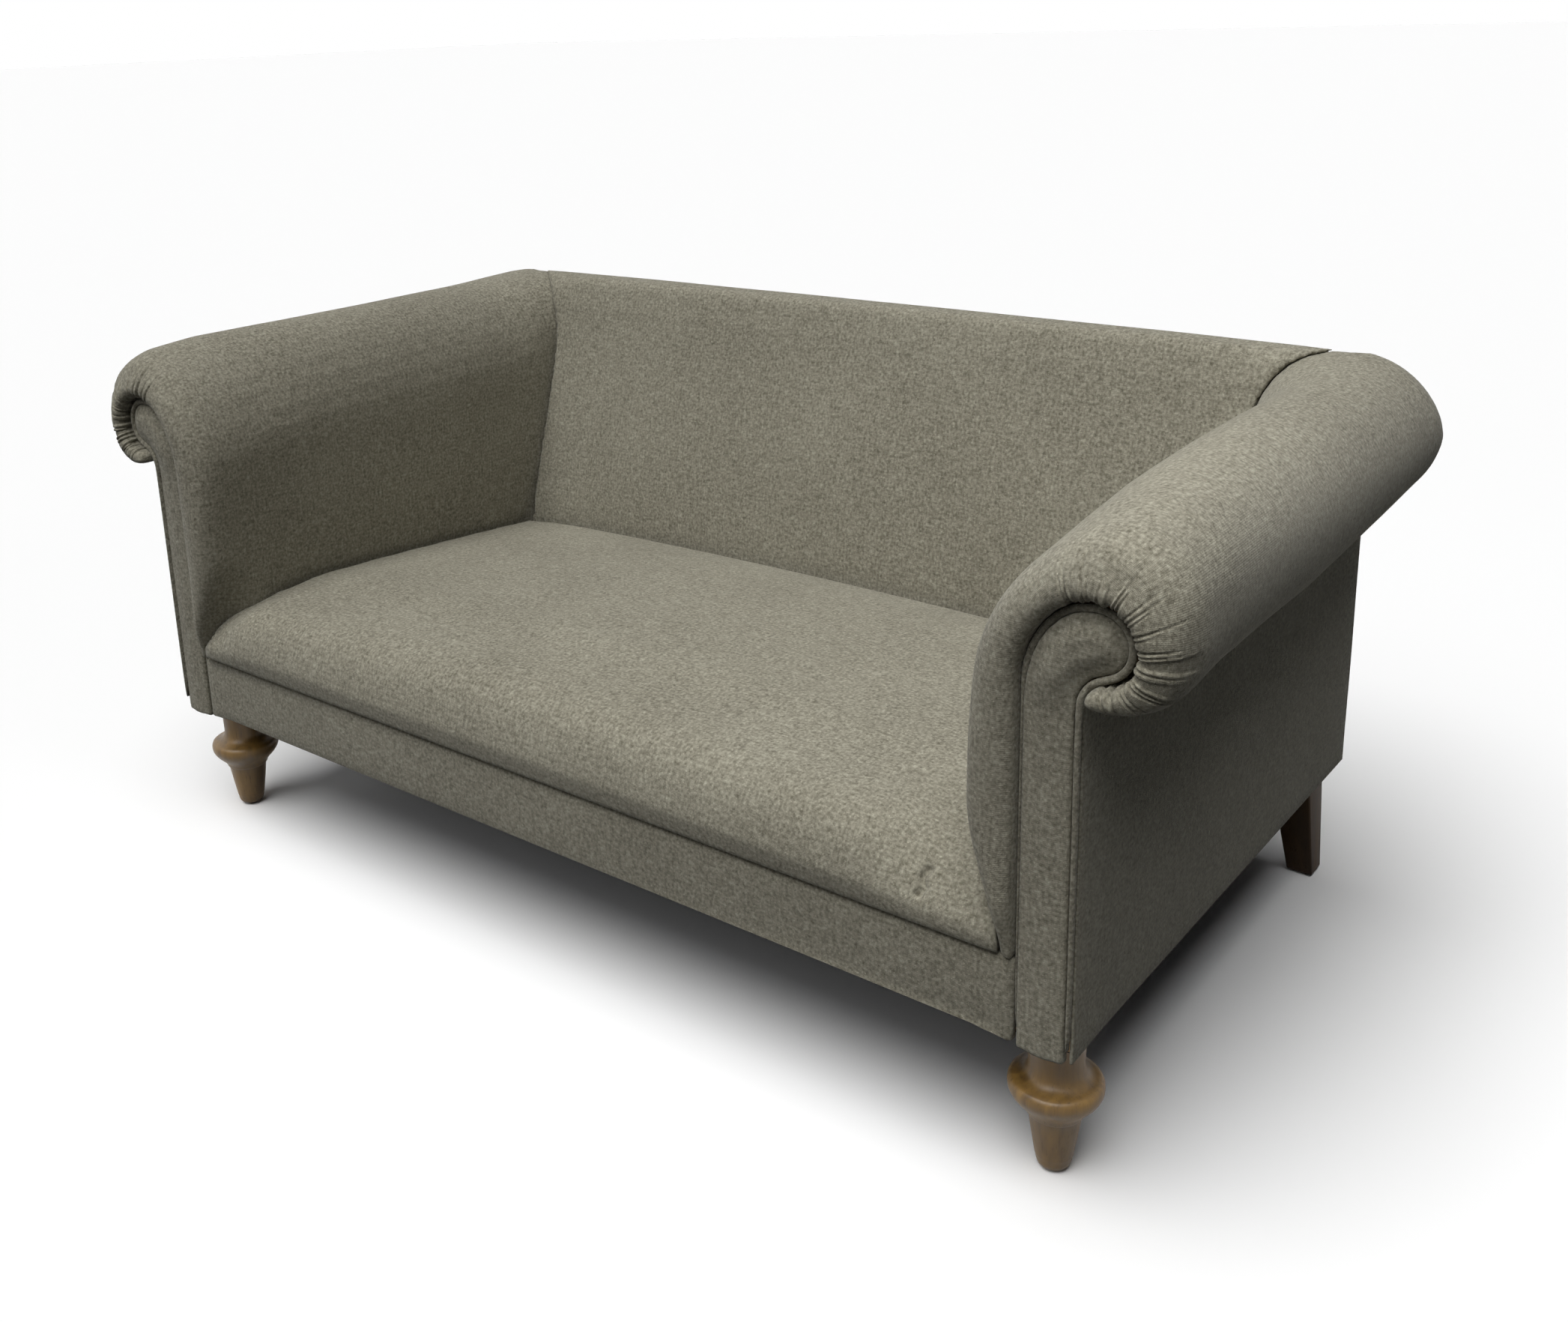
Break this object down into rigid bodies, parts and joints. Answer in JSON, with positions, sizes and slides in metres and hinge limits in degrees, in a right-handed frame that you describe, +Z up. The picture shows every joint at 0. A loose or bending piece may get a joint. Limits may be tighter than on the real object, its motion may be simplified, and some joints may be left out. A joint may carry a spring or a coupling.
{
  "type": "scroll-arm sofa",
  "caption": "Tight-upholstered scroll-arm sofa with a straight back, gathered arm fronts, turned front feet and raked rear legs on a strapped timber frame.",
  "frame": {"origin": "on the floor, under the middle of the sofa's overall box", "axes": "+X along the seat's width, to the sitter's left; +Y from the front to the back; +Z up"},
  "size_m": [1.824, 0.909, 0.804],
  "materials": {
    "wool_cloth": "matt flecked wool tweed, grey-green taupe",
    "welt_cloth": "the same tweed wrapped round a cord",
    "beech": "sawn, unfinished",
    "oak": "turned, satin oil",
    "dark_oak": "stained, satin",
    "elastic_strap": "woven elastic webbing",
    "hessian": "open plain weave",
    "dust_cloth": "non-woven bottoming cloth",
    "zinc_steel": "bright zinc plate",
    "nylon": "moulded"
  },
  "bodies": {
    "root": {"arm_pad_left": "wool_cloth", "arm_pad_right": "wool_cloth", "arm_tack_rail_left": "beech", "arm_tack_rail_right": "beech", "arm_top_rail_left": "beech", "arm_top_rail_right": "beech", "back_mid_rail": "beech", "back_pad": "wool_cloth", "back_rail": "beech", "back_strap_1": "elastic_strap", "back_strap_2": "elastic_strap", "back_strap_3": "elastic_strap", "back_tack_rail_left": "beech", "back_tack_rail_right": "beech", "back_top_rail": "beech", "back_upright_centre": "beech", "back_upright_left": "beech", "back_upright_right": "beech", "corner_block_front_left": "beech", "corner_block_front_right": "beech", "corner_block_rear_left": "beech", "corner_block_rear_right": "beech", "dust_cover": "dust_cloth", "facing_panel_left": "wool_cloth", "facing_panel_right": "wool_cloth", "facing_welt_left": "welt_cloth", "facing_welt_right": "welt_cloth", "front_border": "wool_cloth", "front_foot_left": "oak", "front_foot_right": "oak", "front_rail": "beech", "front_scroll_board_left": "beech", "front_scroll_board_right": "beech", "glide_front_left": "nylon", "glide_front_right": "nylon", "glide_rear_left": "nylon", "glide_rear_right": "nylon", "leg_bolt_front_left": "zinc_steel", "leg_bolt_front_right": "zinc_steel", "leg_bolt_rear_left": "zinc_steel", "leg_bolt_rear_right": "zinc_steel", "outside_arm_panel_left": "wool_cloth", "outside_arm_panel_right": "wool_cloth", "outside_back_panel": "wool_cloth", "rear_leg_left": "dark_oak", "rear_leg_right": "dark_oak", "rear_scroll_board_left": "beech", "rear_scroll_board_right": "beech", "seat_hessian": "hessian", "seat_pad": "wool_cloth", "seat_strap_1": "elastic_strap", "seat_strap_2": "elastic_strap", "seat_strap_3": "elastic_strap", "seat_strap_4": "elastic_strap", "seat_strap_5": "elastic_strap", "seat_strap_6": "elastic_strap", "seat_stretcher": "beech", "side_rail_left": "beech", "side_rail_right": "beech"}
  },
  "joints": []
}
